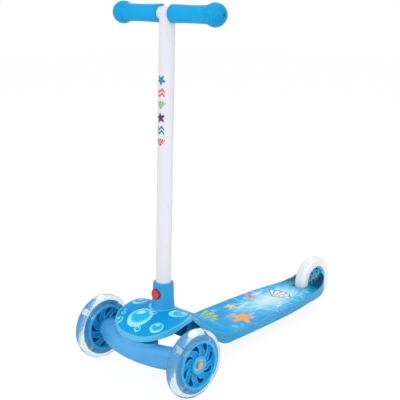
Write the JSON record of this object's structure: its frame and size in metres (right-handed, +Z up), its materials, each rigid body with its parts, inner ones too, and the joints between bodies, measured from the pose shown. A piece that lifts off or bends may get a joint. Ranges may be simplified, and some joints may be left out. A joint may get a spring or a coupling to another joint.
{
  "type": "kick scooter",
  "caption": "Child's kick scooter: T-bar lifts out of a push-button socket, lean-to-steer front beam, clear light-up front wheels, small rear wheel.",
  "frame": {"origin": "on the ground, below the middle of the scooter's length and width", "axes": "+Z up, -Y forward, +X to the scooter's left, across its width"},
  "size_m": [0.267, 0.607, 0.6464],
  "materials": {
    "azure_plastic": "glossy injection-moulded azure plastic",
    "deep_blue_plastic": "matt moulded deep blue plastic",
    "print_film": "printed glossy film",
    "white_paint": "glossy white powder coat",
    "grip_rubber": "fine-textured soft rubber",
    "red_plastic": "glossy red plastic",
    "clear_tyre": "clear polyurethane",
    "wheel_blue": "glossy blue plastic",
    "white_tyre": "milky white polyurethane",
    "steel": "zinc-plated steel",
    "spring_steel": "spring steel",
    "light_module": "small moulded light modules",
    "white_bush": "white acetal",
    "brass": "brass"
  },
  "bodies": {
    "deck": {"deck": "azure_plastic", "deck_ribs": "deep_blue_plastic", "deck_film": "print_film", "nose_film": "print_film", "stem_socket": "azure_plastic", "socket_screws": "steel", "kingpin_bolt": "steel", "kingpin_insert": "brass", "kingpin_washer": "steel", "rear_axle_bolt": "steel", "rear_axle_nut": "steel", "rear_axle_sleeves": "steel", "rear_bearing_spacer": "steel"},
    "release_button": {"release_button": "red_plastic"},
    "handlebar": {"stem_tube": "white_paint", "crossbar": "white_paint", "grip_left": "grip_rubber", "grip_right": "grip_rubber", "snap_clip": "spring_steel"},
    "front_beam": {"front_beam": "azure_plastic", "pivot_bushes": "white_bush", "front_axle_bolts": "steel", "front_axle_inserts": "brass", "front_axle_sleeves": "steel", "left_bearing_spacer": "steel", "right_bearing_spacer": "steel", "steering_spring_left": "spring_steel", "steering_spring_right": "spring_steel"},
    "left_wheel": {"left_wheel_core": "wheel_blue", "left_tyre": "clear_tyre", "left_wheel_lights": "light_module", "left_wheel_bearings": "steel"},
    "right_wheel": {"right_wheel_core": "wheel_blue", "right_tyre": "clear_tyre", "right_wheel_lights": "light_module", "right_wheel_bearings": "steel"},
    "rear_wheel": {"rear_wheel_core": "wheel_blue", "rear_tyre": "white_tyre", "rear_wheel_bearings": "steel"}
  },
  "joints": [
    {"name": "front_beam_steer", "type": "hinge", "parent": "deck", "child": "front_beam", "pos_m": [0, -0.2495, 0.06], "axis": [0, -0.4226, 0.9063], "range_deg": [-15, 15], "stiffness_Nm_per_rad": 30, "deforming": ["steering_spring_left", "steering_spring_right"]},
    {"name": "left_wheel_spin", "type": "hinge", "parent": "front_beam", "child": "left_wheel", "pos_m": [0.1167, -0.2435, 0.06], "axis": [1, 0, 0], "continuous": true},
    {"name": "right_wheel_spin", "type": "hinge", "parent": "front_beam", "child": "right_wheel", "pos_m": [-0.1167, -0.2435, 0.06], "axis": [1, 0, 0], "continuous": true},
    {"name": "rear_wheel_spin", "type": "hinge", "parent": "deck", "child": "rear_wheel", "pos_m": [0, 0.2535, 0.05], "axis": [1, 0, 0], "continuous": true},
    {"name": "button_press", "type": "slide", "parent": "deck", "child": "release_button", "axis": [0, 0.9994, -0.0342], "range_m": [0, 0.0022], "stiffness_N_per_m": 600, "deforming": ["snap_clip"]},
    {"name": "handlebar_lift", "type": "slide", "parent": "deck", "child": "handlebar", "axis": [0, 0.0342, 0.9994], "range_m": [0, 0.07], "deforming": ["snap_clip"]}
  ]
}
